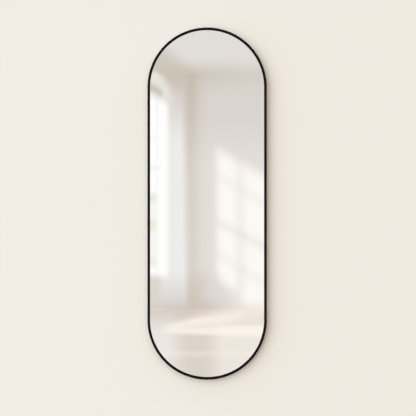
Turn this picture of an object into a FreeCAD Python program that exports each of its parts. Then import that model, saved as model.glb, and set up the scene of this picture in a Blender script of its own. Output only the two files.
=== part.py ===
import FreeCAD, Part
import math
import os

# Oval wall mirror: a pill-shaped glass in a slim aluminium frame, hung on a pair of Z-section rails.
# Millimetres. +X is right as the mirror is seen, +Y points into the wall and +Z is up. The wall is the plane
# Y = 0, and the origin lies midway between the wall rail's two outer screw holes.

# Overall size of the frame
mirror_width = 558.8
mirror_height = 1651.0

# Frame section
frame_wall = 1.3
lip_thickness = 1.8
lip_reach = 4.9
rear_wall = 1.6
slot_back_leg = 1.6
front_edge_radius = 1.0
lip_edge_radius = 0.6
rear_edge_radius = 0.6
section_corner_radius = 0.3
seam_gap = 0.1

# Layers from the lip back to the board
tape_thickness = 0.6
glass_thickness = 4.0
film_thickness = 0.2
foam_thickness = 3.4
board_thickness = 5.0
glass_arris = 0.4

# How far each layer's outline stands in from its neighbour's
edge_gap = 0.8
tape_setback = 0.3
film_setback = 0.5
foam_setback = 1.0

# Pads that centre the glass
pad_length = 30.0
pad_angle = 25.0
side_pad_from_arc = 190.0

# Small pan-head screws in the frame
screw_diameter = 3.0
screw_head_diameter = 5.5
screw_head_height = 2.1
screw_past_wall = 3.4

# Splice bars across the seams
splice_length = 140.0
splice_wall = 0.6
splice_screw_bite = 7.0
splice_screw_from_seam = 18.0
splice_screw_pitch = 34.0

# Turn-buttons that hold the board
button_thickness = 1.5
button_width = 10.0
button_tip_width = 7.0
button_tip_radius = 2.5
button_taper_start = 5.0
button_finger = 13.0
button_corner_radius = 1.0
button_bend_radius = 0.6
button_tab_below_rear = 0.9
button_tip_gap = 1.2
pivot_from_frame = 12.0
pivot_diameter = 4.0
pivot_head_diameter = 8.0
pivot_head_height = 2.2
board_skin = 0.5
button_past_splice = 80.0
button_from_arc = 146.0
arc_button_angle = 45.0

# Z-section rails
cleat_thickness = 3.0
cleat_back_gap = 1.0
cleat_base_height = 24.0
cleat_hook_height = 12.0
cleat_corner_radius = 0.4
cleat_bend_radius = 0.9
cleat_end_inset = 0.6
cleat_below_arc = 18.0
cleat_screw_pitch = 12.0
rail_end_inset = 50.8
rail_screw_from_end = 25.4
rail_inner_screw_spacing = 203.2
rail_screw_hole_diameter = 5.5

# Lower tie bar and its bumpers
tie_bar_thickness = 3.0
tie_bar_height = 24.0
tie_bar_corner_radius = 2.0
tie_bar_above_arc = 54.0
tie_bar_screw_pitch = 12.0
bumper_spacing = 360.0
bumper_foot_diameter = 20.0
bumper_nose_diameter = 17.0
bumper_nose_radius = 1.5

# Clearances
thread_clearance = 0.05
pivot_clearance = 0.05
hole_clearance = 0.2
splice_clearance = 0.1
pad_clearance = 0.05
slot_front_clearance = 0.2
slot_rear_clearance = 0.3
hook_slide_clearance = 0.2
hook_end_clearance = 0.5
screw_tip_clearance = 0.5

# Cross recess in the screw heads, as shares of the head
RECESS_SPAN = 0.56
RECESS_WIDTH = 0.17
RECESS_DEPTH = 0.55
HEAD_ROUNDING = 0.45

# A corner's arc takes at most this share of the shorter side beside it
CORNER_SHARE = 0.45

ORIGIN = FreeCAD.Vector(0, 0, 0)
ALONG_X = FreeCAD.Vector(1, 0, 0)
ALONG_Y = FreeCAD.Vector(0, 1, 0)
ALONG_Z = FreeCAD.Vector(0, 0, 1)

# Frame section, inwards from the outer face
splice_width = screw_diameter + 2 * thread_clearance + 2 * splice_wall
cavity_width = splice_width + 2 * splice_clearance
chamber_width = cavity_width + 2 * frame_wall
face_width = chamber_width + lip_reach
cavity_inner = chamber_width - frame_wall
glass_inset = chamber_width + edge_gap
screw_inset = chamber_width / 2

# Depths, back from the front face
glass_front = lip_thickness + tape_thickness
glass_rear = glass_front + glass_thickness
film_rear = glass_rear + film_thickness
foam_rear = film_rear + foam_thickness
board_rear = foam_rear + board_thickness
slot_front = board_rear - slot_front_clearance
slot_rear = board_rear + button_thickness + slot_rear_clearance
cavity_rear = slot_rear + slot_back_leg
frame_depth = cavity_rear + rear_wall

# Distances out from the wall and heights above the wall rail's screws
hook_offset = cleat_thickness + cleat_back_gap
rail_depth = hook_offset + cleat_thickness
stand_off = 2 * hook_offset - hook_slide_clearance
front_y = -(stand_off + frame_depth)
rail_top = cleat_base_height / 2 + cleat_hook_height
cleat_top = rail_top + cleat_base_height

# The pill: two straight legs between two half circles
half_width = mirror_width / 2
half_leg = (mirror_height - mirror_width) / 2
centre_z = cleat_top + cleat_below_arc - half_leg
bar_length = mirror_width - 2 * cleat_end_inset
tie_bar_z = centre_z - half_leg + tie_bar_above_arc + tie_bar_height / 2
screw_x = half_width - screw_inset

rail_length = mirror_width - 2 * rail_end_inset
rail_outer_screw_spacing = rail_length - 2 * rail_screw_from_end

# Turn-buttons
pivot_inset = chamber_width + pivot_from_frame
button_tongue = pivot_inset - frame_wall - button_tip_gap
button_tab_height = frame_depth - board_rear - button_tab_below_rear
near_button_height = splice_length / 2 + button_past_splice
far_button_height = half_leg - button_from_arc


def depth_y(depth):
    """Y of a depth measured back from the mirror's front face."""
    return front_y + depth


def rounded_wire(corners, place):
    """Closed wire through (a, b, radius) corners, each rounded as far as its sides allow."""
    flat = [FreeCAD.Vector(a, b, 0) for a, b, radius in corners]
    stops = []
    for i, (a, b, radius) in enumerate(corners):
        back = flat[i - 1] - flat[i]
        ahead = flat[(i + 1) % len(flat)] - flat[i]
        half_angle = back.getAngle(ahead) / 2
        reach = min(radius / math.tan(half_angle), CORNER_SHARE * min(back.Length, ahead.Length))
        back.normalize()
        ahead.normalize()
        inwards = (back + ahead).normalize()
        middle = inwards * (reach / math.cos(half_angle) - reach * math.tan(half_angle))
        stops.append((flat[i] + back * reach, flat[i] + middle, flat[i] + ahead * reach, reach))
    edges = []
    for i, (start, middle, end, reach) in enumerate(stops):
        if reach > 0:
            arc = Part.Arc(*[place(p.x, p.y) for p in (start, middle, end)])
            edges.append(arc.toShape())
        following = stops[(i + 1) % len(stops)][0]
        line = Part.LineSegment(place(end.x, end.y), place(following.x, following.y))
        edges.append(line.toShape())
    return Part.Wire(edges)


def box(x, y, z):
    """Box between pairs of limits along each axis."""
    corner = FreeCAD.Vector(x[0], y[0], z[0])
    return Part.makeBox(x[1] - x[0], y[1] - y[0], z[1] - z[0], corner)


def bore(x, z, diameter, y):
    """Cylinder along Y between two limits, for a hole."""
    return Part.makeCylinder(diameter / 2, y[1] - y[0], FreeCAD.Vector(x, y[0], z), ALONG_Y)


def pill_plate(inset, depth, thickness):
    """Flat plate whose outline stands in from the frame's outer face."""
    y = depth_y(depth)
    radius = half_width - inset
    top = centre_z + half_leg
    bottom = centre_z - half_leg

    def at(x, z):
        return FreeCAD.Vector(x, y, z)

    outline = [
        Part.LineSegment(at(radius, bottom), at(radius, top)),
        Part.Arc(at(radius, top), at(0, top + radius), at(-radius, top)),
        Part.LineSegment(at(-radius, top), at(-radius, bottom)),
        Part.Arc(at(-radius, bottom), at(0, bottom - radius), at(radius, bottom)),
    ]
    face = Part.Face(Part.Wire([side.toShape() for side in outline]))
    return face.extrude(ALONG_Y * thickness)


def pan_screw(diameter, length, head_diameter, head_height):
    """Screw along Y whose head stands behind the plane Y = 0, with a cross recess."""
    shank = diameter / 2
    head = head_diameter / 2
    corners = [
        (0, -length, 0),
        (shank, -length, diameter / 6),
        (shank, 0, 0),
        (head, 0, 0),
        (head, head_height, HEAD_ROUNDING * head_height),
        (0, head_height, 0),
    ]
    profile = Part.Face(rounded_wire(corners, lambda r, y: FreeCAD.Vector(r, y, 0)))
    screw = profile.revolve(ORIGIN, ALONG_Y, 360)
    long_side = RECESS_SPAN * head
    short_side = RECESS_WIDTH * head
    floor = (1 - RECESS_DEPTH) * head_height
    y = (floor, 2 * head_height)
    across = box((-long_side, long_side), y, (-short_side, short_side))
    upright = box((-short_side, short_side), y, (-long_side, long_side))
    return screw.cut([across, upright])


def placed(shape, x, y, z):
    """Copy of a shape, moved."""
    copy = shape.copy()
    copy.translate(FreeCAD.Vector(x, y, z))
    return copy


def frame_screw_places(heights):
    """Both legs' screw positions at the given heights."""
    return [(side * screw_x, z) for side in (1, -1) for z in heights]


def splice_screw_heights(direction):
    """Heights of one half's splice screws, above or below the seam."""
    first = splice_screw_from_seam
    return [centre_z + direction * step for step in (first, first + splice_screw_pitch)]


def pair_about(middle, pitch):
    return [middle - pitch / 2, middle + pitch / 2]


cleat_screw_heights = pair_about(cleat_top - cleat_base_height / 2 + cleat_thickness / 2, cleat_screw_pitch)
tie_bar_screw_heights = pair_about(tie_bar_z, tie_bar_screw_pitch)


def frame_profile():
    """Section of the right leg at the seam: front lip, hollow chamber, and a groove open to the inside."""
    corner = section_corner_radius
    corners = [
        (0, 0, front_edge_radius),
        (face_width, 0, lip_edge_radius),
        (face_width, lip_thickness, corner),
        (chamber_width, lip_thickness, corner),
        (chamber_width, slot_front, corner),
        (cavity_inner, slot_front, corner),
        (cavity_inner, lip_thickness, corner),
        (frame_wall, lip_thickness, corner),
        (frame_wall, cavity_rear, corner),
        (cavity_inner, cavity_rear, corner),
        (cavity_inner, slot_rear, corner),
        (chamber_width, slot_rear, corner),
        (chamber_width, frame_depth, corner),
        (0, frame_depth, rear_edge_radius),
    ]
    seam_z = centre_z + seam_gap / 2
    return Part.Face(rounded_wire(corners, lambda u, d: FreeCAD.Vector(half_width - u, depth_y(d), seam_z)))


def bent_half():
    """Upper half of the frame before drilling: a leg, the half circle and the other leg."""
    profile = frame_profile()
    leg_length = half_leg - seam_gap / 2
    leg = profile.extrude(ALONG_Z * leg_length)
    at_arc = placed(profile, 0, 0, leg_length)
    arc = at_arc.revolve(FreeCAD.Vector(0, 0, centre_z + half_leg), -ALONG_Y, 180)
    other_leg = leg.mirror(ORIGIN, ALONG_X)
    return leg.fuse([arc, other_leg]).removeSplitter()


def drilled(frame_half, heights, clearance):
    """Frame half with screw holes through its rear wall."""
    y = (depth_y(cavity_rear) - screw_tip_clearance, depth_y(frame_depth) + screw_tip_clearance)
    holes = [bore(x, z, screw_diameter + 2 * clearance, y) for x, z in frame_screw_places(heights)]
    return frame_half.cut(holes)


def frame_upper():
    half = drilled(bent_half(), splice_screw_heights(1), hole_clearance)
    return drilled(half, cleat_screw_heights, thread_clearance)


def frame_lower():
    half = bent_half().mirror(FreeCAD.Vector(0, 0, centre_z), ALONG_Z)
    half = drilled(half, splice_screw_heights(-1), hole_clearance)
    return drilled(half, tie_bar_screw_heights, thread_clearance)


def splice_bar(side):
    """Bar inside the frame's chamber, tapped for the splice screws."""
    y = (depth_y(lip_thickness + splice_clearance), depth_y(cavity_rear - splice_clearance))
    x = (screw_x - splice_width / 2, screw_x + splice_width / 2)
    z = (centre_z - splice_length / 2, centre_z + splice_length / 2)
    bar = box(x, y, z)
    depth = depth_y(cavity_rear) - splice_screw_bite - screw_tip_clearance
    hole_diameter = screw_diameter + 2 * thread_clearance
    heights = splice_screw_heights(1) + splice_screw_heights(-1)
    bar = bar.cut([bore(screw_x, height, hole_diameter, (depth, y[1])) for height in heights])
    return bar if side > 0 else bar.mirror(ORIGIN, ALONG_X)


def frame_screws(heights, grip, seat_y):
    """Group of small screws along both legs, with their heads on the plane Y = seat_y."""
    screw = pan_screw(screw_diameter, grip, screw_head_diameter, screw_head_height)
    return Part.Compound([placed(screw, x, seat_y, z) for x, z in frame_screw_places(heights)])


def glazing_tape():
    outer = pill_plate(glass_inset + tape_setback, lip_thickness, tape_thickness)
    inner = pill_plate(face_width - tape_setback, lip_thickness, tape_thickness)
    return outer.cut(inner)


def mirror_glass():
    plate = pill_plate(glass_inset, glass_front, glass_thickness)
    faces = (depth_y(glass_front), depth_y(glass_rear))
    rims = [e for e in plate.Edges if any(abs(e.BoundBox.YMin - y) + abs(e.BoundBox.YMax - y) < 1e-6 for y in faces)]
    return plate.makeChamfer(glass_arris, rims)


def edge_pads():
    """Pads between the glass edge and the frame: one each side above and below, and pairs on both arcs."""
    outer = half_width - chamber_width - pad_clearance
    inner = half_width - glass_inset + pad_clearance
    y = (depth_y(glass_front), depth_y(glass_rear))
    sweep = math.degrees(pad_length / outer)
    pads = []
    for end in (1, -1):
        arc_z = centre_z + end * half_leg
        side_z = arc_z - end * side_pad_from_arc
        for side in (1, -1):
            x = sorted((side * inner, side * outer))
            pads.append(box(x, y, pair_about(side_z, pad_length)))
            section = Part.makePlane(outer - inner, y[1] - y[0], FreeCAD.Vector(inner, y[0], arc_z), ALONG_Z)
            turned = end * (90 - side * pad_angle) - sweep / 2
            section.rotate(FreeCAD.Vector(0, 0, arc_z), -ALONG_Y, turned)
            pads.append(section.revolve(FreeCAD.Vector(0, 0, arc_z), -ALONG_Y, sweep))
    return Part.Compound(pads)


def turn_button():
    """Turn-button with its pivot at the origin, its tongue along +X and its front face on Y = 0."""
    half = button_width / 2
    tip = button_tip_width / 2
    height = button_tab_height
    folded = [
        (button_tongue, 0, 0),
        (button_tongue, button_thickness, 0),
        (button_thickness - button_finger, button_thickness, button_bend_radius),
        (button_thickness - button_finger, height, 0),
        (-button_finger, height, 0),
        (-button_finger, 0, button_bend_radius + button_thickness),
    ]
    outline = [
        (-button_finger, -half, button_corner_radius),
        (button_taper_start, -half, button_tip_radius),
        (button_tongue, -tip, button_tip_radius),
        (button_tongue, tip, button_tip_radius),
        (button_taper_start, half, button_tip_radius),
        (-button_finger, half, button_corner_radius),
    ]
    strip = Part.Face(rounded_wire(folded, lambda a, b: FreeCAD.Vector(a, b, -half)))
    plan = Part.Face(rounded_wire(outline, lambda a, b: FreeCAD.Vector(a, 0, b)))
    button = strip.extrude(ALONG_Z * button_width).common(plan.extrude(ALONG_Y * height))
    return button.cut(bore(0, 0, pivot_diameter + 2 * pivot_clearance, (0, button_thickness)))


def button_stations():
    """Pivot x and z and the tongue's bearing from +X towards +Z, clockwise from the upper right."""
    radius = half_width - pivot_inset
    heights = (far_button_height, near_button_height, -near_button_height, -far_button_height)

    def on_arc(end, bearing):
        x = radius * math.cos(math.radians(bearing))
        z = centre_z + end * half_leg + radius * math.sin(math.radians(bearing))
        return x, z, bearing

    right = [(radius, centre_z + height, 0) for height in heights]
    left = [(-radius, centre_z + height, 180) for height in reversed(heights)]
    upper_right = on_arc(1, 90 - arc_button_angle)
    upper_left = on_arc(1, 90 + arc_button_angle)
    lower_right = on_arc(-1, arc_button_angle - 90)
    lower_left = on_arc(-1, -90 - arc_button_angle)
    return [upper_right] + right + [lower_right, lower_left] + left + [upper_left]


def back_board():
    board = pill_plate(glass_inset, foam_rear, board_thickness)
    y = (depth_y(foam_rear + board_skin), depth_y(board_rear))
    hole_diameter = pivot_diameter + 2 * thread_clearance
    return board.cut([bore(x, z, hole_diameter, y) for x, z, bearing in button_stations()])


def turn_button_screws():
    grip = button_thickness + board_thickness - 2 * board_skin
    screw = pan_screw(pivot_diameter, grip, pivot_head_diameter, pivot_head_height)
    seat_y = depth_y(board_rear + button_thickness)
    return Part.Compound([placed(screw, x, seat_y, z) for x, z, bearing in button_stations()])


def bar_along_x(corners, length):
    """Bar of a section given by distance out from the wall and height, centred on X = 0."""
    section = Part.Face(rounded_wire(corners, lambda w, v: FreeCAD.Vector(-length / 2, -w, v)))
    return section.extrude(ALONG_X * length)


def wall_rail():
    """Z-section screwed to the wall, with its hook standing up in front of the wall."""
    foot = -cleat_base_height / 2
    head = cleat_base_height / 2
    edge = cleat_corner_radius
    corners = [
        (0, foot, edge),
        (cleat_thickness, foot, edge),
        (cleat_thickness, head - cleat_thickness, edge),
        (rail_depth, head - cleat_thickness, cleat_bend_radius),
        (rail_depth, rail_top, edge),
        (hook_offset, rail_top, edge),
        (hook_offset, head, edge),
        (0, head, cleat_bend_radius),
    ]
    rail = bar_along_x(corners, rail_length)
    spacings = (rail_outer_screw_spacing, rail_inner_screw_spacing)
    y = (-rail_depth, cleat_thickness)
    holes = [bore(side * s / 2, 0, rail_screw_hole_diameter, y) for s in spacings for side in (1, -1)]
    return rail.cut(holes)


def frame_cleat():
    """Z-section on the frame, with its hook hanging behind the wall rail's hook."""
    base = stand_off - cleat_thickness
    hook_rear = stand_off - rail_depth
    hook_front = stand_off - hook_offset
    hook_foot = cleat_base_height / 2 + hook_end_clearance
    edge = cleat_corner_radius
    corners = [
        (stand_off, cleat_top, edge),
        (base, cleat_top, edge),
        (base, rail_top + cleat_thickness, edge),
        (hook_rear, rail_top + cleat_thickness, cleat_bend_radius),
        (hook_rear, hook_foot, edge),
        (hook_front, hook_foot, edge),
        (hook_front, rail_top, edge),
        (stand_off, rail_top, cleat_bend_radius),
    ]
    cleat = bar_along_x(corners, bar_length)
    y = (-stand_off, -base)
    hole_diameter = screw_diameter + 2 * hole_clearance
    return cleat.cut([bore(x, z, hole_diameter, y) for x, z in frame_screw_places(cleat_screw_heights)])


def lower_tie_bar():
    z = pair_about(tie_bar_z, tie_bar_height)
    x = (-bar_length / 2, bar_length / 2)
    corners = [(a, b, tie_bar_corner_radius) for a, b in zip((x[0], x[1], x[1], x[0]), (z[0], z[0], z[1], z[1]))]
    plan = Part.Face(rounded_wire(corners, lambda a, b: FreeCAD.Vector(a, -stand_off, b)))
    bar = plan.extrude(ALONG_Y * tie_bar_thickness)
    y = (-stand_off, tie_bar_thickness - stand_off)
    hole_diameter = screw_diameter + 2 * hole_clearance
    return bar.cut([bore(a, b, hole_diameter, y) for a, b in frame_screw_places(tie_bar_screw_heights)])


def bumper(side):
    """Round rubber bumper from the tie bar to the wall."""
    foot_y = tie_bar_thickness - stand_off
    corners = [
        (0, foot_y, 0),
        (bumper_foot_diameter / 2, foot_y, 0),
        (bumper_nose_diameter / 2, 0, bumper_nose_radius),
        (0, 0, 0),
    ]
    profile = Part.Face(rounded_wire(corners, lambda r, y: FreeCAD.Vector(r, y, 0)))
    return placed(profile.revolve(ORIGIN, ALONG_Y, 360), side * bumper_spacing / 2, 0, tie_bar_z)


bar_grip = cleat_thickness + rear_wall + screw_past_wall
tie_grip = tie_bar_thickness + rear_wall + screw_past_wall
splice_heights = splice_screw_heights(1) + splice_screw_heights(-1)

pieces = {
    "frame_upper": frame_upper(),
    "frame_lower": frame_lower(),
    "splice_bar_right": splice_bar(1),
    "splice_bar_left": splice_bar(-1),
    "splice_screws": frame_screws(splice_heights, rear_wall + splice_screw_bite, -stand_off),
    "glazing_tape": glazing_tape(),
    "mirror_glass": mirror_glass(),
    "safety_film": pill_plate(glass_inset + film_setback, glass_rear, film_thickness),
    "edge_pads": edge_pads(),
    "foam_sheet": pill_plate(glass_inset + foam_setback, film_rear, foam_thickness),
    "back_board": back_board(),
    "turn_button_screws": turn_button_screws(),
    "frame_cleat": frame_cleat(),
    "frame_cleat_screws": frame_screws(cleat_screw_heights, bar_grip, cleat_thickness - stand_off),
    "wall_rail": wall_rail(),
    "lower_tie_bar": lower_tie_bar(),
    "tie_bar_screws": frame_screws(tie_bar_screw_heights, tie_grip, tie_bar_thickness - stand_off),
    "bumper_right": bumper(1),
    "bumper_left": bumper(-1),
}

button = turn_button()
for number, (x, z, bearing) in enumerate(button_stations(), start=1):
    turned = button.copy()
    turned.rotate(ORIGIN, -ALONG_Y, bearing)
    pieces[f"turn_button_{number:02d}"] = placed(turned, x, depth_y(board_rear), z)

os.makedirs("parts", exist_ok=True)
for name, shape in pieces.items():
    shape.exportStep(f"parts/{name}.step")
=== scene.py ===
import bmesh
import bpy
import math
from collections import namedtuple
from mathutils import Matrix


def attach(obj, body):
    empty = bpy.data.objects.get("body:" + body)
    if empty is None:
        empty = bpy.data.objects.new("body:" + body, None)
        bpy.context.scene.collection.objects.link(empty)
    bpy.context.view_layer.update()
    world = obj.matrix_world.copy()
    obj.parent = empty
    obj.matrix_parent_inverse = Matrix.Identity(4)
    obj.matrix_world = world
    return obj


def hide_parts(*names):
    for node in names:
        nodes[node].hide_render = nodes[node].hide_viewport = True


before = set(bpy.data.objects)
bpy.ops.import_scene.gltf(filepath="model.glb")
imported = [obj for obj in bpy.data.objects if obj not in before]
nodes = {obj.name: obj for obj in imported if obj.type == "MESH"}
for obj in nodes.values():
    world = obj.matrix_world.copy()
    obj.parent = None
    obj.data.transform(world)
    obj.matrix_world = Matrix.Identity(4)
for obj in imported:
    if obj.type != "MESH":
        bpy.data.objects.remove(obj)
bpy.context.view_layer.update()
scene = bpy.context.scene
scene.view_settings.view_transform = "Standard"

# Oval wall mirror. Metres, +X right, +Y into the wall, +Z up, and the wall is the plane Y = 0.
MM = 0.001

# Outline of the frame: two half circles, with straight legs between them
half_width = 279.4 * MM
half_leg = 546.1 * MM
centre_z = -480.1 * MM
front_y = -27.8 * MM

# Frame section, inwards from the outer face and back from the front face
face_width = 12 * MM
chamber_width = 7.1 * MM
frame_wall = 1.3 * MM
cavity_inner = 5.8 * MM
lip_thickness = 1.8 * MM
groove_front = 14.8 * MM
groove_rear = 16.8 * MM
cavity_rear = 18.4 * MM
frame_depth = 20 * MM
seam_half_gap = 0.05 * MM

# Radii of the frame's edges
front_edge_radius = 1 * MM
lip_edge_radius = 0.6 * MM
rear_edge_radius = 0.6 * MM
section_corner_radius = 0.3 * MM

# Screw holes in the back of the frame's legs
screw_x = 275.85 * MM
splice_screw_steps = (18 * MM, 52 * MM)
cleat_screw_heights = (31.5 * MM, 43.5 * MM)
tie_bar_screw_heights = (-966.2 * MM, -954.2 * MM)
splice_hole = 3.4 * MM
bar_hole = 3.1 * MM
drill_overrun = 0.5 * MM

# Layers behind the lip: how far in from the outer face, depth of the front and thickness
Layer = namedtuple("Layer", "inset depth thickness")
tape = Layer(8.2 * MM, 1.8 * MM, 0.6 * MM)
glass = Layer(7.9 * MM, 2.4 * MM, 4 * MM)
film = Layer(8.4 * MM, 6.4 * MM, 0.2 * MM)
foam = Layer(8.9 * MM, 6.6 * MM, 3.4 * MM)
board = Layer(7.9 * MM, 10 * MM, 5 * MM)
tape_setback = 0.3 * MM
glass_arris = 0.4 * MM
foam_edge = 0.8 * MM
board_edge = 0.5 * MM

# Pads between the glass edge and the frame, measured out from the middle line or from an arc's centre
pad_inner = 271.55 * MM
pad_outer = 272.25 * MM
pad_middle = (pad_inner + pad_outer) / 2
pad_length = 30 * MM
pad_edge = 0.12 * MM
pad_turn = math.radians(25)
side_pad_from_arc = 190 * MM

# Blind holes in the board for the turn-buttons' pivots
pivot_reach = 260.3 * MM
pivot_heights = (400.1 * MM, 150 * MM, -150 * MM, -400.1 * MM)
pivot_turn = math.radians(45)
pivot_hole = 4.1 * MM
board_skin = 0.5 * MM

# Bumpers between the lower tie bar and the wall
bumper_x = 180 * MM
bumper_z = -960.2 * MM
bumper_height = 4.8 * MM
bumper_foot_radius = 10 * MM
bumper_nose_share = 0.85
bumper_nose_edge = 1.5 * MM
bumper_foot_edge = 0.3 * MM

# Steps of the dish in a bumper's nose: inwards, and down into the rubber
bumper_dish = ((2.2 * MM, 0), (0.3 * MM, 0.1 * MM), (0.6 * MM, 0.4 * MM), (0.5 * MM, 0.1 * MM))

# How finely round shapes are divided
ARC_STEPS = 128
PAD_STEPS = 10
BUMPER_SIDES = 64
HOLE_SIDES = 32

# What counts as one place, as flat, as a rounded face and as a sharp edge
SAME_PLACE = 0.02 * MM
MERGE_DISTANCE = 0.002 * MM
FLAT_ANGLE = math.radians(0.1)
ROUNDED_ANGLE = math.radians(32)
SHARP_ANGLE = math.radians(40)

# A primitive's turn that brings its axis from Z to Y
LAID_BACK = (math.pi / 2, 0, 0)


def depth_y(depth):
    """Y of a depth measured back from the mirror's front face."""
    return front_y + depth


# Modelling by hand

def begin(name, add, **settings):
    """Add a primitive with nothing else selected, settle its place in its mesh and open it."""
    bpy.ops.object.select_all(action="DESELECT")
    add(**settings)
    piece = bpy.context.object
    piece.name = name
    piece.data.name = name
    bpy.ops.object.transform_apply(location=True, rotation=True, scale=True)
    bpy.ops.object.mode_set(mode="EDIT")
    return piece


def choose_all():
    """Select the whole of the open piece."""
    bpy.ops.mesh.select_all(action="SELECT")


def choose(kind, test):
    """Select those vertices, edges or faces of the open piece whose middle passes a test."""
    bpy.ops.mesh.select_mode(type=kind)
    bpy.ops.mesh.select_all(action="DESELECT")
    mesh = bpy.context.object.data
    shape = bmesh.from_edit_mesh(mesh)
    if kind == "VERT":
        places = [(v, v.co) for v in shape.verts]
    elif kind == "EDGE":
        places = [(e, (e.verts[0].co + e.verts[1].co) / 2) for e in shape.edges]
    else:
        places = [(f, f.calc_center_median()) for f in shape.faces]
    for item, place in places:
        if test(place):
            item.select_set(True)
    shape.select_flush_mode()
    bmesh.update_edit_mesh(mesh)


def near(a, b):
    """Whether two measures are the same."""
    return abs(a - b) < SAME_PLACE


def sized(name, add, middle, size):
    """Add a square or a cube at its middle and stretch it to its size."""
    piece = begin(name, add, size=1, location=middle)
    choose_all()
    bpy.ops.transform.resize(value=size, center_override=middle)
    return piece


def score(place, normal):
    """Cut a line right across the open piece."""
    choose_all()
    bpy.ops.mesh.bisect(plane_co=place, plane_no=normal)


def clear_flat_edges():
    """Remove the edges between faces of the open piece that lie in one plane."""
    choose_all()
    bpy.ops.mesh.dissolve_limited(angle_limit=FLAT_ANGLE)


def draw_out(x=0, y=0, z=0):
    """Extrude the selection and move it."""
    bpy.ops.mesh.extrude_region_move(TRANSFORM_OT_translate={"value": (x, y, z)})


def finish_shape(piece):
    """Merge what meets, turn the faces outwards, leave edit mode and smooth the rounded faces."""
    choose_all()
    bpy.ops.mesh.remove_doubles(threshold=MERGE_DISTANCE)
    bpy.ops.mesh.normals_make_consistent(inside=False)
    bpy.ops.object.mode_set(mode="OBJECT")
    bpy.ops.object.shade_smooth_by_angle(angle=ROUNDED_ANGLE)
    return piece


def only(piece):
    """Make one piece the selected and active object."""
    bpy.ops.object.select_all(action="DESELECT")
    piece.select_set(True)
    bpy.context.view_layer.objects.active = piece


def join(pieces, name):
    """Join pieces into the first one."""
    only(pieces[0])
    for piece in pieces:
        piece.select_set(True)
    bpy.ops.object.join()
    pieces[0].name = name
    return pieces[0]


def copied(piece, name, move):
    """A copy with its own mesh, moved to its own place."""
    only(piece)
    bpy.ops.object.duplicate(linked=False)
    copy = bpy.context.object
    copy.name = name
    copy.data.name = name
    bpy.ops.transform.translate(value=move)
    bpy.ops.object.transform_apply(location=True, rotation=True, scale=True)
    return copy


def soften(piece, width, segments):
    """Round off the sharp edges of a whole piece."""
    only(piece)
    edges = piece.modifiers.new("soft_edges", "BEVEL")
    edges.limit_method = "ANGLE"
    edges.angle_limit = SHARP_ANGLE
    edges.width = width
    edges.segments = segments
    bpy.ops.object.modifier_apply(modifier=edges.name)
    bpy.ops.object.shade_smooth_by_angle(angle=ROUNDED_ANGLE)
    return piece


def drill(piece, places, diameter, start, end):
    """Bore round holes along Y, from start to end, at (x, z) places."""
    bits = []
    for x, z in places:
        bit = begin("drill_bit", bpy.ops.mesh.primitive_cylinder_add, vertices=HOLE_SIDES,
                    radius=diameter / 2, depth=end - start,
                    location=(x, (start + end) / 2, z), rotation=LAID_BACK)
        bpy.ops.object.mode_set(mode="OBJECT")
        bits.append(bit)
    cutter = join(bits, "drill_bits")
    only(piece)
    cut = piece.modifiers.new("holes", "BOOLEAN")
    cut.operation = "DIFFERENCE"
    cut.solver = "EXACT"
    cut.object = cutter
    bpy.ops.object.modifier_apply(modifier=cut.name)
    bpy.data.objects.remove(cutter)
    bpy.ops.object.shade_smooth_by_angle(angle=ROUNDED_ANGLE)
    return piece


def stands_for(piece, node):
    """Let a piece move with the mirror in place of one of its solids."""
    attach(piece, "mirror")
    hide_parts(node)


# Pieces of the mirror. An end is 1 above and -1 below, a side is 1 on the right and -1 on the left.

def frame_section(name):
    """Section of the right leg at the seam: a plate is scored and its hollows are cut out."""
    middle = (half_width - face_width / 2, depth_y(frame_depth / 2), centre_z)
    piece = sized(name, bpy.ops.mesh.primitive_plane_add, middle, (face_width, frame_depth, 1))
    for inwards in (frame_wall, cavity_inner, chamber_width):
        score((half_width - inwards, 0, 0), (1, 0, 0))
    for depth in (lip_thickness, groove_front, groove_rear, cavity_rear):
        score((0, depth_y(depth), 0), (0, 1, 0))

    def hollow(place):
        inwards = half_width - place.x
        depth = place.y - front_y
        in_cavity = frame_wall < inwards < cavity_inner and lip_thickness < depth < cavity_rear
        in_groove = cavity_inner < inwards < chamber_width and groove_front < depth < groove_rear
        behind_lip = inwards > chamber_width and depth > lip_thickness
        return in_cavity or in_groove or behind_lip

    choose("FACE", hollow)
    bpy.ops.mesh.delete(type="FACE")
    clear_flat_edges()

    def corner(inwards, depth):
        return lambda place: near(half_width - place.x, inwards) and near(place.y - front_y, depth)

    rounded = [
        (corner(0, 0), front_edge_radius, 5),
        (corner(face_width, 0), lip_edge_radius, 4),
        (corner(0, frame_depth), rear_edge_radius, 3),
        (corner(face_width, lip_thickness), section_corner_radius, 2),
        (corner(chamber_width, frame_depth), section_corner_radius, 2),
    ]
    for test, radius, segments in rounded:
        choose("VERT", test)
        bpy.ops.mesh.bevel(offset=radius, segments=segments, affect="VERTICES")
    return piece


def frame_half(name, end, bar_screw_heights):
    """A half of the frame: the section runs along a leg, round the arc and along the other leg."""
    piece = frame_section(name)
    choose_all()
    bpy.ops.transform.translate(value=(0, 0, end * seam_half_gap))
    leg = end * (half_leg - seam_half_gap)
    arc_centre = (0, 0, centre_z + end * half_leg)
    draw_out(z=leg)
    bpy.ops.mesh.spin(steps=ARC_STEPS, angle=end * math.pi, center=arc_centre, axis=(0, 1, 0))
    draw_out(z=-leg)
    finish_shape(piece)
    splice_screw_heights = [centre_z + end * step for step in splice_screw_steps]
    start = depth_y(cavity_rear) - drill_overrun
    stop = depth_y(frame_depth) + drill_overrun
    for heights, diameter in ((splice_screw_heights, splice_hole), (bar_screw_heights, bar_hole)):
        places = [(side * screw_x, z) for side in (1, -1) for z in heights]
        drill(piece, places, diameter, start, stop)
    return piece


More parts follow.
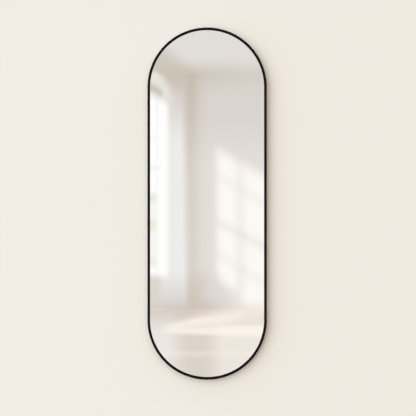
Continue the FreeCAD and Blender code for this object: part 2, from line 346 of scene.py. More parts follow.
def pill_sheet(name, layer):
    """Flat pill at a layer's front: a disc is cut, its halves drawn apart and the gap bridged."""
    piece = begin(name, bpy.ops.mesh.primitive_circle_add, vertices=2 * ARC_STEPS,
                  radius=half_width - layer.inset, fill_type="NGON",
                  location=(0, depth_y(layer.depth), centre_z), rotation=LAID_BACK)
    score((0, 0, centre_z), (0, 0, 1))
    choose("FACE", lambda place: place.z > centre_z)
    bpy.ops.mesh.split()
    bpy.ops.transform.translate(value=(0, 0, half_leg))
    choose("FACE", lambda place: place.z < centre_z)
    bpy.ops.transform.translate(value=(0, 0, -half_leg))
    choose("EDGE", lambda place: near(place.x, 0) and near(abs(place.z - centre_z), half_leg))
    bpy.ops.mesh.bridge_edge_loops()
    clear_flat_edges()
    choose_all()
    return piece


def pill_plate(name, layer, edge=0, segments=0):
    """Pill-shaped plate. Its rims are broken by a small bevel where it has an edge."""
    piece = pill_sheet(name, layer)
    draw_out(y=layer.thickness)
    if edge:
        rims = (depth_y(layer.depth), depth_y(layer.depth + layer.thickness))
        choose("EDGE", lambda place: any(near(place.y, y) for y in rims))
        bpy.ops.mesh.bevel(offset=edge, segments=segments, affect="EDGES")
    return finish_shape(piece)


def glazing_tape():
    """Foam tape: a pill sheet is inset, its middle taken out and the ring given its thickness."""
    piece = pill_sheet("glazing_tape_ring", tape)
    bpy.ops.mesh.inset(thickness=face_width - tape_setback - tape.inset)
    bpy.ops.mesh.delete(type="FACE")
    choose_all()
    draw_out(y=tape.thickness)
    return finish_shape(piece)


def hardboard_back():
    """Hardboard with a blind hole for each turn-button's screw."""
    piece = pill_plate("hardboard_back", board, board_edge, segments=2)
    places = [(side * pivot_reach, centre_z + height) for side in (1, -1) for height in pivot_heights]
    for end in (1, -1):
        z = centre_z + end * (half_leg + pivot_reach * math.cos(pivot_turn))
        places += [(side * pivot_reach * math.sin(pivot_turn), z) for side in (1, -1)]
    start = depth_y(board.depth) + board_skin
    stop = depth_y(board.depth + board.thickness) + drill_overrun
    return drill(piece, places, pivot_hole, start, stop)


def side_pad(side, z):
    """Pad on a leg: a block drawn out to its length."""
    middle = (side * pad_middle, depth_y(glass.depth + glass.thickness / 2), z)
    size = (pad_outer - pad_inner, glass.thickness, pad_length)
    return finish_shape(sized("side_pad", bpy.ops.mesh.primitive_cube_add, middle, size))


def arc_pad(end, side):
    """Pad on an arc: its section is spun through the pad's length and turned to its place."""
    arc_centre = (0, 0, centre_z + end * half_leg)
    middle = (pad_middle, depth_y(glass.depth + glass.thickness / 2), arc_centre[2])
    section = (pad_outer - pad_inner, glass.thickness, 1)
    piece = sized("arc_pad", bpy.ops.mesh.primitive_plane_add, middle, section)
    sweep = pad_length / pad_outer
    bpy.ops.mesh.spin(steps=PAD_STEPS, angle=sweep, center=arc_centre, axis=(0, 1, 0))
    choose_all()
    bearing = end * (math.pi / 2 - side * pad_turn) - sweep / 2
    bpy.ops.transform.rotate(value=bearing, orient_axis="Y", center_override=arc_centre)
    return finish_shape(piece)


def centring_pads():
    """Pads round the glass: one on each leg and one on each side of the arc, above and below."""
    pads = []
    for end in (1, -1):
        z = centre_z + end * (half_leg - side_pad_from_arc)
        for side in (1, -1):
            pads.append(side_pad(side, z))
            pads.append(arc_pad(end, side))
    return soften(join(pads, "centring_pads"), pad_edge, segments=2)


def rubber_bumper(name, x):
    """Moulded bumper: a drum with a softened foot, narrowed to a rounded nose with a dish in it."""
    middle = (x, -bumper_height / 2, bumper_z)
    nose = (x, 0, bumper_z)
    piece = begin(name, bpy.ops.mesh.primitive_cylinder_add, vertices=BUMPER_SIDES,
                  radius=bumper_foot_radius, depth=bumper_height, location=middle, rotation=LAID_BACK)
    choose("VERT", lambda place: near(place.y, 0))
    bpy.ops.transform.resize(value=(bumper_nose_share, 1, bumper_nose_share), center_override=nose)
    choose("EDGE", lambda place: near(place.y, 0))
    bpy.ops.mesh.bevel(offset=bumper_nose_edge, segments=6, affect="EDGES")
    choose("EDGE", lambda place: near(place.y, -bumper_height))
    bpy.ops.mesh.bevel(offset=bumper_foot_edge, segments=2, affect="EDGES")
    choose("FACE", lambda place: near(place.y, 0))
    for inwards, down in bumper_dish:
        bpy.ops.mesh.inset(thickness=inwards, depth=-down)
    return finish_shape(piece)


upper = frame_half("frame_u_upper", 1, cleat_screw_heights)
stands_for(upper, "frame_upper")
lower = frame_half("frame_u_lower", -1, tie_bar_screw_heights)
stands_for(lower, "frame_lower")
plate = pill_plate("mirror_plate", glass, glass_arris, segments=1)
stands_for(plate, "mirror_glass")
backing = pill_plate("splinter_film", film)
stands_for(backing, "safety_film")
cushion = pill_plate("cushion_sheet", foam, foam_edge, segments=3)
stands_for(cushion, "foam_sheet")
hardboard = hardboard_back()
stands_for(hardboard, "back_board")
ring = glazing_tape()
stands_for(ring, "glazing_tape")
pads = centring_pads()
stands_for(pads, "edge_pads")
left_bumper = rubber_bumper("rubber_bumper_left", -bumper_x)
right_bumper = copied(left_bumper, "rubber_bumper_right", (2 * bumper_x, 0, 0))
stands_for(left_bumper, "bumper_left")
stands_for(right_bumper, "bumper_right")


# Finishes

class Wire:
    """A node's output. Arithmetic on it adds Math nodes."""

    def __init__(self, socket):
        self.socket = socket

    def __add__(self, other):
        return math_node("ADD", self, other)

    def __radd__(self, other):
        return math_node("ADD", other, self)

    def __sub__(self, other):
        return math_node("SUBTRACT", self, other)

    def __rsub__(self, other):
        return math_node("SUBTRACT", other, self)

    def __mul__(self, other):
        return math_node("MULTIPLY", self, other)

    def __rmul__(self, other):
        return math_node("MULTIPLY", other, self)

    def __neg__(self):
        return math_node("MULTIPLY", self, -1)


def feed(tree, socket, value):
    """Link a wire to a socket, or set the socket's own value."""
    if isinstance(value, Wire):
        tree.links.new(value.socket, socket)
    elif socket.type == "RGBA" and len(value) == 3:
        socket.default_value = (*value, 1)
    else:
        socket.default_value = value


def add_node(tree, kind, settings, sockets, output=0):
    """Any node: its type, its settings, then the values or links of its sockets."""
    node = tree.nodes.new("ShaderNode" + kind)
    for key, value in settings.items():
        setattr(node, key, value)
    for key, value in sockets.items():
        feed(tree, node.inputs[key], value)
    return Wire(node.outputs[output])


def math_node(operation, a, b):
    """Math node on two values, of which one or both are wires."""
    wire = a if isinstance(a, Wire) else b
    return add_node(wire.socket.id_data, "Math", {"operation": operation}, {0: a, 1: b})


class Finish:
    """A finish made of nodes, for a material or for the world."""

    def __init__(self, owner):
        self.owner = owner
        owner.use_nodes = True
        self.tree = owner.node_tree
        self.tree.nodes.clear()

    def node(self, kind, settings=None, sockets=None, output=0):
        return add_node(self.tree, kind, settings or {}, sockets or {}, output)

    def place(self):
        """Object coordinates."""
        return self.node("TexCoord", output="Object")

    def axis(self, place, name):
        """X, Y or Z of a place."""
        return self.node("SeparateXYZ", sockets={"Vector": place}, output=name)

    def stretched(self, place, scale, turn=0):
        """A place with its own scale along each axis, turned about Y."""
        sockets = {"Vector": place, "Scale": scale, "Rotation": (0, turn, 0)}
        return self.node("Mapping", sockets=sockets)

    def noise(self, place, scale=1, detail=2, roughness=0.5, distortion=0):
        return self.node("TexNoise", sockets={
            "Vector": place,
            "Scale": scale,
            "Detail": detail,
            "Roughness": roughness,
            "Distortion": distortion,
        })

    def ease(self, value, start, end):
        """Smooth step from 0 at start to 1 at end, upwards or downwards."""
        sockets = {"Value": value, "From Min": start, "From Max": end}
        return self.node("MapRange", {"interpolation_type": "SMOOTHSTEP"}, sockets)

    def band(self, value, low, high, soft):
        """1 between two limits, fading over a soft edge."""
        above_low = self.ease(value, low - soft, low + soft)
        return above_low * self.ease(value, high + soft, high - soft)

    def mix(self, share, a, b):
        return self.node("Mix", {"data_type": "RGBA"}, {0: share, 6: a, 7: b}, output=2)

    def bump(self, height, distance, strength):
        sockets = {"Height": height, "Distance": distance, "Strength": strength}
        return self.node("Bump", sockets=sockets)

    def surface(self, **sockets):
        """Principled shader. Its sockets are named with underscores for spaces."""
        sockets = {name.replace("_", " "): value for name, value in sockets.items()}
        return self.output(self.node("BsdfPrincipled", sockets=sockets))

    def output(self, shader):
        kind = "OutputWorld" if isinstance(self.owner, bpy.types.World) else "OutputMaterial"
        end = self.tree.nodes.new("ShaderNode" + kind)
        feed(self.tree, end.inputs["Surface"], shader)
        return self.owner


def new_finish(name):
    return Finish(bpy.data.materials.new(name))


# Colours of the finishes, as light
COAT_DEEP = (0.0012, 0.0012, 0.0013)
COAT_DUSTY = (0.0028, 0.0027, 0.0026)
SILVER_DULL = (0.945, 0.945, 0.945)
SILVER_BRIGHT = (0.955, 0.955, 0.955)
GLASS_EDGE_DARK = (0.16, 0.27, 0.23)
GLASS_EDGE_PALE = (0.26, 0.38, 0.33)
BACK_PAINT_DARK = (0.20, 0.21, 0.22)
BACK_PAINT_PALE = (0.25, 0.26, 0.27)
ALUMINIUM_DULL = (0.34, 0.345, 0.355)
ALUMINIUM_BRIGHT = (0.60, 0.605, 0.61)
ALUMINIUM_SCUFF = (0.70, 0.70, 0.70)
ZINC_BLUISH = (0.42, 0.45, 0.50)
ZINC_STRAW = (0.60, 0.56, 0.46)
ZINC_DULL = (0.34, 0.34, 0.33)
FIBRE_DARK = (0.195, 0.112, 0.058)
FIBRE_PALE = (0.37, 0.245, 0.14)
FIBRE_FLECK = (0.105, 0.056, 0.029)
CUSHION_DARK = (0.50, 0.50, 0.50)
CUSHION_PALE = (0.72, 0.72, 0.71)
TAPE_DARK = (0.012, 0.012, 0.012)
TAPE_PALE = (0.03, 0.03, 0.03)
RUBBER_DARK = (0.016, 0.016, 0.017)
RUBBER_BLOOM = (0.034, 0.033, 0.032)
FILM_DARK = (0.55, 0.58, 0.60)
FILM_PALE = (0.70, 0.72, 0.73)

# Depths over which the glass goes from its face to its edge, and from its edge to its back
SKIN_START = 0.02 * MM
SKIN_END = 0.06 * MM


def black_coat():
    """Matt black powder coat: fine orange peel, a little cloudiness in its sheen."""
    f = new_finish("black_powder_coat")
    place = f.place()
    peel = f.noise(place, scale=1500)
    cloud = f.noise(place, scale=18, detail=3)
    return f.surface(
        Base_Color=f.mix(cloud, COAT_DEEP, COAT_DUSTY),
        Roughness=0.44 + 0.12 * cloud,
        Specular_IOR_Level=0.09,
        Normal=f.bump(peel, distance=0.05 * MM, strength=0.5),
    )


def silvered_glass():
    """Silver behind clear glass on the face, a ground green edge and grey paint behind."""
    f = new_finish("silvered_glass")
    place = f.place()
    y = f.axis(place, "Y")
    front = depth_y(glass.depth)
    rear = depth_y(glass.depth + glass.thickness)
    on_face = f.ease(y, front + SKIN_END, front + SKIN_START)
    on_back = f.ease(y, rear - SKIN_END, rear - SKIN_START)
    haze = f.noise(place, scale=5, detail=3)
    edge = f.mix(f.noise(place, scale=900), GLASS_EDGE_DARK, GLASS_EDGE_PALE)
    paint = f.mix(f.noise(place, scale=60, detail=4), BACK_PAINT_DARK, BACK_PAINT_PALE)
    silver = f.mix(haze, SILVER_DULL, SILVER_BRIGHT)
    return f.surface(
        Base_Color=f.mix(on_face, f.mix(on_back, edge, paint), silver),
        Metallic=on_face,
        Roughness=0.35 - 0.34 * on_face + 0.15 * on_back + 0.004 * haze,
        Coat_Weight=on_face,
        Coat_Roughness=0.01,
    )


def mill_aluminium():
    """Plain extruded aluminium: drawing lines along its length, dull patches and faint scuffs."""
    f = new_finish("mill_aluminium")
    place = f.place()
    lines = f.noise(f.stretched(place, (5, 700, 700)), detail=4, roughness=0.65)
    cloud = f.noise(f.stretched(place, (9, 30, 30)), detail=3)
    scuff = f.ease(f.noise(f.stretched(place, (260, 40, 40), turn=0.9)), 0.66, 0.74)
    tone = f.mix(0.6 * lines + 0.5 * cloud - 0.05, ALUMINIUM_DULL, ALUMINIUM_BRIGHT)
    return f.surface(
        Base_Color=f.mix(0.35 * scuff, tone, ALUMINIUM_SCUFF),
        Metallic=1,
        Roughness=0.28 + 0.22 * lines + 0.12 * cloud,
        Normal=f.bump(lines, distance=0.05 * MM, strength=0.5),
    )


def zinc_steel():
    """Zinc plating: bluish and straw-coloured patches, fine grain, dull spots."""
    f = new_finish("zinc_plated_steel")
    place = f.place()
    grain = f.noise(place, scale=2600, detail=3)
    tint = f.noise(place, scale=190, detail=3)
    dull = f.ease(f.noise(place, scale=480, detail=3), 0.5, 0.75)
    tone = f.mix(f.ease(tint, 0.32, 0.68), ZINC_BLUISH, ZINC_STRAW)
    return f.surface(
        Base_Color=f.mix(0.6 * dull, tone, ZINC_DULL),
        Metallic=1,
        Roughness=0.22 + 0.16 * grain + 0.2 * dull,
        Normal=f.bump(grain, distance=0.03 * MM, strength=0.4),
    )


def hardboard_finish():
    """Pressed wood fibre: brown, with short fibres lying every way and darker flecks."""
    f = new_finish("hardboard_fibre")
    place = f.place()

    def fibres(turn):
        lying = f.stretched(place, (210, 700, 1150), turn)
        return f.noise(lying, detail=4, roughness=0.6, distortion=1.3)

    felt = (fibres(0.4) + fibres(1.45) + fibres(2.5)) * (1 / 3)
    fleck = f.ease(f.noise(f.stretched(place, (420, 700, 800), turn=0.9)), 0.63, 0.73)
    cloud = f.noise(place, scale=7, detail=5)
    tone = f.mix(f.ease(felt + 0.12 * cloud, 0.40, 0.72), FIBRE_DARK, FIBRE_PALE)
    return f.surface(
        Base_Color=f.mix(0.6 * fleck, tone, FIBRE_FLECK),
        Roughness=0.6 + 0.25 * felt,
        Normal=f.bump(felt, distance=0.10 * MM, strength=0.6),
    )


def foam_finish(name, dark, pale, scale):
    """Closed-cell foam."""
    f = new_finish(name)
    cells = f.node("TexVoronoi", sockets={"Vector": f.place(), "Scale": scale})
    return f.surface(
        Base_Color=f.mix(cells, dark, pale),
        Roughness=0.75 + 0.15 * cells,
        Normal=f.bump(cells, distance=0.15 * MM, strength=0.6),
    )


def rubber():
    """Moulded black rubber with a dry bloom."""
    f = new_finish("moulded_rubber")
    place = f.place()
    bloom = f.noise(place, scale=240, detail=3)
    grain = f.noise(place, scale=3000)
    return f.surface(
        Base_Color=f.mix(bloom, RUBBER_DARK, RUBBER_BLOOM),
        Roughness=0.62 + 0.2 * bloom,
        Normal=f.bump(grain, distance=0.04 * MM, strength=0.5),
    )


def film_finish():
    """Milky woven splinter film."""
    f = new_finish("splinter_film")
    place = f.place()
    weave = f.noise(f.stretched(place, (1200, 1, 40))) + f.noise(f.stretched(place, (40, 1, 1200)))
    return f.surface(
        Base_Color=f.mix(0.5 * weave, FILM_DARK, FILM_PALE),
        Roughness=0.35 + 0.1 * weave,
        Normal=f.bump(weave, distance=0.03 * MM, strength=0.5),
    )


def dress(material, *pieces):
    """Give pieces their finish."""
    for piece in pieces:
        piece.data.materials.clear()
        piece.data.materials.append(material)


bars = ("wall_rail", "frame_cleat", "lower_tie_bar", "splice_bar_left", "splice_bar_right")
small_steel = [name for name in nodes if name.startswith("turn_button") or name.endswith("screws")]
aluminium = mill_aluminium()
zinc = zinc_steel()
dress(black_coat(), upper, lower)
dress(silvered_glass(), plate)
dress(film_finish(), backing)
dress(foam_finish("cushion_foam", CUSHION_DARK, CUSHION_PALE, scale=900), cushion)
dress(hardboard_finish(), hardboard)
dress(foam_finish("foam_tape", TAPE_DARK, TAPE_PALE, scale=2200), ring)
dress(aluminium, *[nodes[name] for name in bars])
dress(zinc, *[nodes[name] for name in small_steel])
dress(rubber(), pads, left_bumper, right_bumper)


# Studio: a wall, a floor, a ceiling and a backdrop that the mirror faces

floor_z = -1.62
floor_side = 16
ceiling_z = 0.987
wall_middle_z = 0.7
wall_width = 9
facing_y = -4.02
facing_width = 20
facing_height = 6

camera_place = (4.2 * MM, -2.928, -0.5008)
camera_lens = 53.56
camera_sensor = 36

# Share of the light that the mirror sends back, which the glowing sheets make up for
MIRROR_RETURN = 0.96

# Light from all round, in red, green and blue: an even part, more of it from the left and from above,
# cooler from the sides than from in front, and less from straight up and straight down
EVEN = (1.393, 1.182, 0.951)
FROM_LEFT = (1.02, 1.15, 1.32)
FROM_SIDES = (-0.5, 0.1, 0.6)
FROM_ABOVE = (0.82, 0.93, 1.0)
FROM_ENDS = (-1.2, -1.0, -0.6)
DIMMEST = 0.02

# A level surface gets more of that light than an upright one, so the floor's colour is brought down
FLOOR_SHARE = (0.86, 0.78, 0.71)


def swatch(red, green, blue):
    """A colour off a 0 to 255 swatch card, as light."""
    parts = [c / 255 for c in (red, green, blue)]
    return tuple(c / 12.92 if c <= 0.04045 else ((c + 0.055) / 1.055) ** 2.4 for c in parts)


# Tones of the studio. Many are painted light and painted shade, on sheets that glow and light nothing
WALL_LEFT_PAINTED_LIGHTER = swatch(241, 236, 228)
WALL_RIGHT_PAINTED_DARKER = swatch(239, 234, 225)
CEILING = swatch(226, 222, 217)
FACING = swatch(228, 223, 218)
FACING_HIGH_SHADE = swatch(219, 213, 207)
SHADE = swatch(209, 201, 191)
LOW_SHADE = swatch(205, 194, 181)
LOW_GREY_SHADE = swatch(216, 212, 208)
FOLD_SHADE = swatch(217, 210, 201)
FOLD_DEEP_SHADE = swatch(200, 190, 177)
STRIP = swatch(238, 237, 235)
STRIP_HIGH_SHADE = swatch(217, 212, 205)
STRIP_LOW_SHADE = swatch(211, 206, 202)
PANEL_PAINTED_LIGHT = swatch(255, 255, 254)
PANEL_TINT = swatch(232, 236, 218)
PANEL_RIM = swatch(232, 229, 223)
PANEL_SHADE = swatch(202, 196, 181)
PANEL_UNDER_SHADE = swatch(221, 214, 206)
POOL_OF_LIGHT = swatch(253, 249, 243)
FOOT_SHADE = swatch(209, 198, 186)
FOOT_LIT = swatch(246, 239, 228)
FLOOR_MIDDLE = swatch(222, 213, 202)
FLOOR_RIGHT = swatch(240, 233, 224)
FLOOR_LEFT = swatch(237, 233, 228)
FLOOR_FAR_SHADE = swatch(213, 202, 190)
FLOOR_LIGHT_POOL = swatch(250, 243, 231)
FLOOR_LIGHT_BAND = swatch(254, 249, 240)


class Painting(Finish):
    """Soft tones on a flat sheet. A place on it is given along two axes, in metres."""

    def __init__(self, name, axes):
        super().__init__(bpy.data.materials.new(name))
        self.across, self.along = [self.axis(self.place(), axis) for axis in axes]

    def left_of(self, start, end, soft):
        """1 on the left of the line from start to end, fading over a soft edge."""
        run_across = end[0] - start[0]
        run_along = end[1] - start[1]
        length = math.hypot(run_across, run_along)
        offset = (start[0] * run_along - start[1] * run_across) / length
        distance = self.along * (run_across / length) - self.across * (run_along / length) + offset
        return self.ease(distance, -soft, soft)

    def right_of(self, start, end, soft):
        """1 on the right of the line from start to end, fading over a soft edge."""
        return self.left_of(end, start, soft)

    def stripe(self, start, end, half, soft):
        """1 along a line that runs from left to right, fading on both sides of it."""
        lower = [(across, along - half) for across, along in (start, end)]
        upper = [(across, along + half) for across, along in (start, end)]
        return self.left_of(*lower, soft) * self.right_of(*upper, soft)

    def coated(self, tone, *coats):
        """A ground tone with coats over it, each with its share and its own tone."""
        for share, over in coats:
            tone = self.mix(share, tone, over)
        return tone

    def glowing(self, tone):
        """Let the sheet glow with its painted light and shade, so that it shows in the mirror as it
        is painted.
        """
        glow = {"Color": tone, "Strength": 1 / MIRROR_RETURN}
        return self.output(self.node("Emission", sockets=glow))


def plaster():
    """Pale warm wall paint with faint roller mottling and painted light that makes it a touch lighter
    on the left, seen from the front of the wall only.
    """
    f = new_finish("wall_paint")
    place = f.place()
    mottle = f.noise(place, scale=3, detail=3)
    roller = f.noise(place, scale=420)
    # Painted light: the paint goes a touch lighter towards the left, where the light comes from
    colour = f.mix(f.ease(f.axis(place, "X") + 0.3 * mottle, -0.9, 1.1), WALL_LEFT_PAINTED_LIGHTER, WALL_RIGHT_PAINTED_DARKER)
    relief = f.bump(roller, distance=0.1 * MM, strength=0.3)
    paint = f.node("BsdfDiffuse", sockets={"Color": colour, "Normal": relief})
    from_behind = f.node("NewGeometry", output="Backfacing")
    clear = f.node("BsdfTransparent")
    return f.output(f.node("MixShader", sockets={0: from_behind, 1: paint, 2: clear}))


def facing_glow():
    """Backdrop that the mirror faces, glowing with painted light and shade: a light panel past a
    shaded fold and a slanted pool of light.
    """
    p = Painting("facing_glow", "XZ")
    x, z = p.across, p.along
    fold_left = ((-0.229, -0.90), (-0.259, 0.70))
    fold_right = ((-0.226, -0.90), (-0.255, 0.70))
    strip_top = ((-0.42, 0.84), (-0.25, 0.78))
    rim_top = ((-0.492, 0.948), (-0.408, 0.814))
    rim_foot = ((-0.631, 0.846), (-0.52, 0.784))
    panel_top = ((-0.631, 0.75), (-0.443, 0.66))
    pool_top = ((0.10, 0.157), (0.61, -0.133))
    left_field_foot = ((0.06, -1.23), (0.26, -1.43))

    # Ground, with painted shade towards the ceiling, the floor and the fold, and a faint painted
    # spill of light low on the right
    tone = p.coated(
        FACING,
        (p.ease(z, -0.1, 0.6), FACING_HIGH_SHADE),
        (p.ease(z, 0.72, 1.04) * (1 - 0.4 * p.ease(x, 0, 0.5)), SHADE),
        (0.5 * p.ease(z, -1.1, -1.4), LOW_GREY_SHADE),
        (0.35 * p.ease(x, 0.08, 0.36) * p.ease(z, -1.3, -1.45), POOL_OF_LIGHT),
        (p.ease(z, -1.46, -1.67) * (1 - 0.6 * p.ease(x, -0.05, 0.3)), LOW_SHADE),
        (0.5 * p.ease(z, -1.08, -1.4) * p.ease(x, 0.10, -0.16), LOW_SHADE),
    )

    # Light panel, painted as a glow of light, with faint lines across and up it and a pale green tint
    # low on its left
    lines_across = 0.65 * p.band(z, -0.075, -0.035, 0.03) + 0.2 * p.band(z, 0.26, 0.30, 0.03)
    line_up = (0.2 + 0.3 * p.ease(z, 0.35, 0.7)) * p.band(x, -0.575, -0.55, 0.015)
    lines = lines_across * p.ease(x, -0.50, -0.58) + line_up
    spots = p.band(z, -0.43, -0.35, 0.04) + p.band(z, -0.75, -0.63, 0.04)
    spots = spots + 0.6 * p.band(z, -1.15, -1.05, 0.04)
    tint = (0.4 * p.band(z, -1.16, -0.32, 0.05) + 0.6 * spots) * p.ease(x, -0.53, -0.615)
    panel = p.coated(PANEL_PAINTED_LIGHT, (lines, STRIP), (tint, PANEL_TINT))

    # Strip between the panel and the fold with painted shade at its top and foot, the rim over the
    # panel with painted shade under it, and painted shade under the panel
    strip = p.coated(STRIP, (p.ease(z, 0.15, 0.80), STRIP_HIGH_SHADE), (p.ease(z, -1.12, -1.75), STRIP_LOW_SHADE))
    on_rim = p.right_of(*rim_top, 0.06) * p.ease(x, -0.32, -0.48) * p.ease(z, 0.5, 0.8)
    shade_under_rim = p.stripe(*rim_foot, 0.04, 0.05) * p.ease(x, -0.47, -0.54)
    on_panel = p.right_of(*panel_top, 0.06) * p.ease(x, -0.395, -0.485) * p.ease(z, -1.33, -1.2)
    shade_under_panel = p.ease(x, -0.47, -0.58) * p.ease(z, -1.2, -1.33)
    left_side = p.coated(
        FOLD_SHADE,
        (p.ease(z, 0.45, 0.95), LOW_SHADE),
        (p.right_of(*strip_top, 0.12), strip),
        (on_rim, PANEL_RIM),
        (shade_under_rim, PANEL_SHADE),
        (on_panel, panel),
        (shade_under_panel, PANEL_UNDER_SHADE),
    )
    tone = p.mix(p.ease(x, -1.6, -1.2) * p.left_of(*fold_left, 0.062), tone, left_side)

    # Painted shade in the fold, deeper towards the ceiling and fading to the right
    fold = p.coated(FOLD_SHADE, (p.ease(z, -0.3, 1.05), FOLD_DEEP_SHADE), (p.ease(z, -1.1, -1.66), LOW_SHADE))
    fading = 0.75 * p.ease(x, -0.05, -0.19) + 0.25 * p.ease(x, 0.06, -0.10)
    tone = p.mix(p.right_of(*fold_right, 0.065) * fading, tone, fold)

    # Painted pool of light in two fields, crossed by the painted shadows of slanted bars: strength,
    # then left and right height
    left_field = p.ease(x, 0.037, 0.171) * p.ease(x, 0.43, 0.26) * p.ease(z, -1.5, -1.34)
    left_field = left_field * p.left_of(*left_field_foot, 0.1)
    right_field = p.ease(x, 0.30, 0.47) * p.ease(z, -1.72, -1.5)
    pool = (left_field + right_field) * p.right_of(*pool_top, 0.095)
    slanted_bar_shadows = ((0.58, -0.65, -0.93), (0.33, -0.14, -0.447), (0.33, -1.0, -1.35))
    for strength, left_height, right_height in slanted_bar_shadows:
        bar = p.stripe((0.10, left_height), (0.63, right_height), 0.04, 0.07)
        pool = pool * (1 - strength * bar)
    tone = p.mix(pool, tone, POOL_OF_LIGHT)

    # The foot takes on the floor's tones: painted shade on the left, painted light on the right
    foot = p.ease(z, -1.5, -1.66) * (0.4 + 0.45 * p.ease(x, -0.45, -0.2))
    foot_tone = p.mix(p.ease(x, -0.2, 0.55), FOOT_SHADE, FOOT_LIT)
    return p.glowing(p.mix(foot, tone, foot_tone))


def ceiling_glow():
    """Pale ceiling, glowing, with painted shade towards the facing backdrop and past its fold."""
    p = Painting("ceiling_glow", "XY")
    x, y = p.across, p.along
    fold = ((-0.12, -4.02), (-0.41, -2.86))
    shade_past_fold = p.mix(p.ease(y, -3.4, -4.02), SHADE, LOW_SHADE)
    over_panel = p.ease(y, -3.7, -4.05) * p.ease(x, -0.48, -0.60)
    tone = p.coated(
        CEILING,
        (p.ease(y, -3.15, -4.1) * (1 - 0.3 * p.ease(x, 0, 0.5)), SHADE),
        (p.left_of(*fold, 0.14), shade_past_fold),
        (over_panel, PANEL_RIM),
    )
    return p.glowing(tone)


def pale_floor():
    """Plain pale floor. The mirror shows painted streaks and pools of light and painted shade on it,
    far in front.
    """
    p = Painting("studio_floor", "XY")
    x, y = p.across, p.along
    streak_far = ((-0.40, -3.02), (0.204, -3.98))
    streak_near = ((0.60, -2.48), (-0.45, -2.67))
    parting_far = ((-0.15, -2.95), (0.6, -3.6))
    parting_near = ((-0.15, -2.88), (0.6, -3.03))
    left_edge = ((-0.26, -2.5), (-0.20, -1.3))
    panel_foot = ((-0.40, -4.02), (-0.62, -3.80))
    cloud = p.noise(p.place(), scale=2, detail=3)

    # Streak of light, parted by a shadow that widens to the right
    spread = 0.12 + 0.14 * p.ease(y, -3.1, -3.8)
    streak = p.left_of(*streak_far, spread) * p.left_of(*streak_near, 0.13)
    streak = streak * p.ease(x, -0.52, -0.30) * (0.95 - 0.2 * p.ease(y, -3.3, -3.7))
    parting = p.left_of(*parting_far, 0.2) * p.right_of(*parting_near, 0.08)
    streak = streak * (1 - parting * (0.4 + 0.25 * p.ease(x, 0, 0.35)))

    # Tones that the mirror shows, from the near side to the far side, with painted light in pools, a
    # band and the streak, and painted shade far off and below the panel
    below_panel = p.left_of(*panel_foot, 0.06) * p.ease(x, -1.4, -0.8)
    mirrored = p.coated(
        FLOOR_MIDDLE,
        (p.ease(x + 0.04 * cloud, -0.01, 0.16), FLOOR_RIGHT),
        (p.left_of(*left_edge, 0.11), FLOOR_LEFT),
        (0.4 * p.band(y, -1.95, -1.8, 0.12), FLOOR_LIGHT_POOL),
        (p.ease(y, -2.3, -4.4), FLOOR_FAR_SHADE),
        (streak, FLOOR_LIGHT_POOL),
        (0.5 * p.band(y, -2.97, -2.55, 0.1) * p.ease(x, 0, 0.16), FLOOR_LIGHT_BAND),
        (below_panel, PANEL_UNDER_SHADE),
    )

    # Seen directly the floor is plain
    plain = p.mix(cloud, FLOOR_RIGHT, FLOOR_LEFT)
    tone = p.mix(p.node("LightPath", output="Is Glossy Ray"), plain, mirrored)
    multiply = {"data_type": "RGBA", "blend_type": "MULTIPLY"}
    colour = p.node("Mix", multiply, {0: 1, 6: tone, 7: FLOOR_SHARE}, output=2)
    return p.output(p.node("BsdfDiffuse", sockets={"Color": colour}))


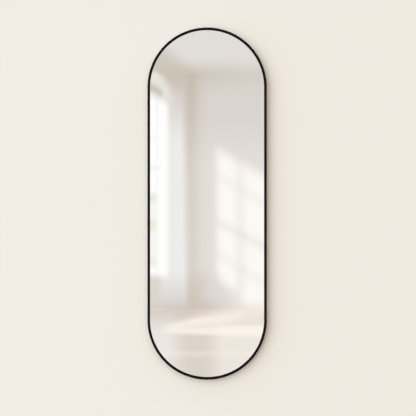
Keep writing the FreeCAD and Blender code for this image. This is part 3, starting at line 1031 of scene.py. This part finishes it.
def studio_light():
    """Soft light all round for the surfaces, and a pale background for the camera and the mirror."""
    world = bpy.data.worlds.new("studio_light")
    f = Finish(world)
    way = f.node("TexCoord", output="Generated")
    x = f.axis(way, "X")
    z = f.axis(way, "Z")
    across = x * x
    upright = z * z
    channels = []
    for even, left, sides, above, ends in zip(EVEN, FROM_LEFT, FROM_SIDES, FROM_ABOVE, FROM_ENDS):
        level = even - left * x + sides * across + above * z + ends * upright
        channels.append(math_node("MAXIMUM", level, DIMMEST))
    colour = f.node("CombineColor", sockets=dict(enumerate(channels)))
    light = f.node("Background", sockets={"Color": colour, "Strength": 1})
    pale = f.mix(f.ease(z, -0.3, 0.7), FLOOR_RIGHT, CEILING)
    background = f.node("Background", sockets={"Color": pale, "Strength": 1})
    rays = ("Is Camera Ray", "Is Glossy Ray", "Is Transmission Ray")
    camera_ray, glossy_ray, clear_ray = [f.node("LightPath", output=ray) for ray in rays]
    seen = math_node("MINIMUM", camera_ray + glossy_ray + clear_ray, 1)
    f.output(f.node("MixShader", sockets={0: seen, 1: light, 2: background}))
    return world


def backdrop(name, location, size, rotation):
    """Flat sheet of the studio, facing the mirror's side."""
    sheet = sized(name, bpy.ops.mesh.primitive_plane_add, (0, 0, 0), (*size, 1))
    bpy.ops.object.mode_set(mode="OBJECT")
    sheet.rotation_euler = rotation
    sheet.location = location
    bpy.ops.object.transform_apply(location=True, rotation=True, scale=True)
    return sheet


def keep_unlit(sheet, direct, mirrored):
    """Keep a sheet out of the lighting. It is seen directly, in the mirror, or both."""
    sheet.visible_shadow = False
    sheet.visible_diffuse = False
    sheet.visible_camera = direct
    sheet.visible_glossy = mirrored
    sheet.visible_transmission = mirrored


wall_size = (wall_width, 2 * (wall_middle_z - floor_z))
wall = backdrop("studio_wall", (0, 0, wall_middle_z), wall_size, LAID_BACK)
floor = backdrop("studio_floor_sheet", (0, 0, floor_z), (floor_side, floor_side), (0, 0, 0))
facing_size = (facing_width, facing_height)
facing = backdrop("facing_sheet", (0, facing_y, 0), facing_size, (-math.pi / 2, 0, 0))
ceiling_size = (facing_width, -facing_y)
ceiling = backdrop("ceiling_sheet", (0, facing_y / 2, ceiling_z), ceiling_size, (math.pi, 0, 0))
dress(plaster(), wall)
dress(pale_floor(), floor)
dress(facing_glow(), facing)
dress(ceiling_glow(), ceiling)
keep_unlit(wall, direct=True, mirrored=False)
keep_unlit(floor, direct=True, mirrored=True)
keep_unlit(facing, direct=False, mirrored=True)
keep_unlit(ceiling, direct=False, mirrored=True)
scene.world = studio_light()

bpy.ops.object.camera_add(location=camera_place, rotation=LAID_BACK)
camera = bpy.context.object
camera.data.sensor_width = camera_sensor
camera.data.lens = camera_lens
scene.camera = camera
